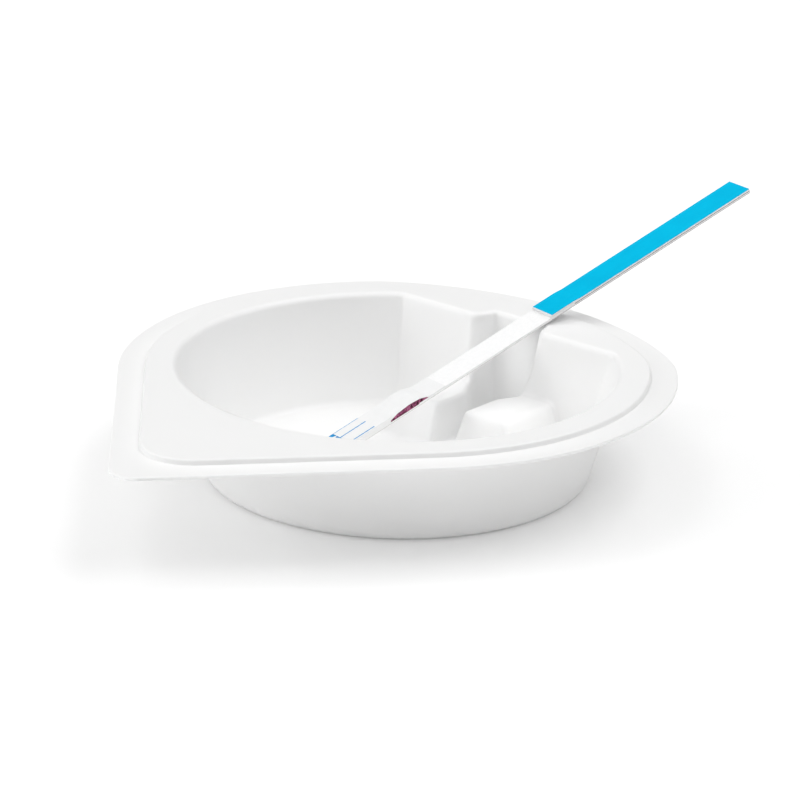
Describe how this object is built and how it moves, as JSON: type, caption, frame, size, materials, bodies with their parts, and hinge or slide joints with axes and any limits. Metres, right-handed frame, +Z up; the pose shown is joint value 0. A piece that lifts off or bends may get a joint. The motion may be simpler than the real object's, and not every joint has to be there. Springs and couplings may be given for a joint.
{
  "type": "lateral flow test strip in a sample dish",
  "caption": "Shallow vacuum-formed sample dish with a peel-tab flange and a strip notch, holding a bare lateral flow test strip with a coloured handle.",
  "frame": {"origin": "centre of the dish's round base, on the surface that it stands on", "axes": "+X from the peel-tab corner to the strip notch, +Z up, +Y to the left when looking along +X"},
  "size_m": [0.1393, 0.089, 0.0338],
  "materials": {
    "dish_sheet": "satin white formed sheet",
    "card": "white card",
    "membrane": "matt white membrane",
    "conjugate": "plum-stained fibre pad",
    "pad": "white fibre pad",
    "sample_tape": "white film with blue lines and arrows",
    "handle_tape": "blue film"
  },
  "bodies": {
    "root": {"dish": "dish_sheet", "backing_card": "card", "membrane": "membrane", "conjugate_pad": "conjugate", "sample_pad": "pad", "absorbent_pad": "pad", "sample_tape": "sample_tape", "handle_tape": "handle_tape"}
  },
  "joints": []
}
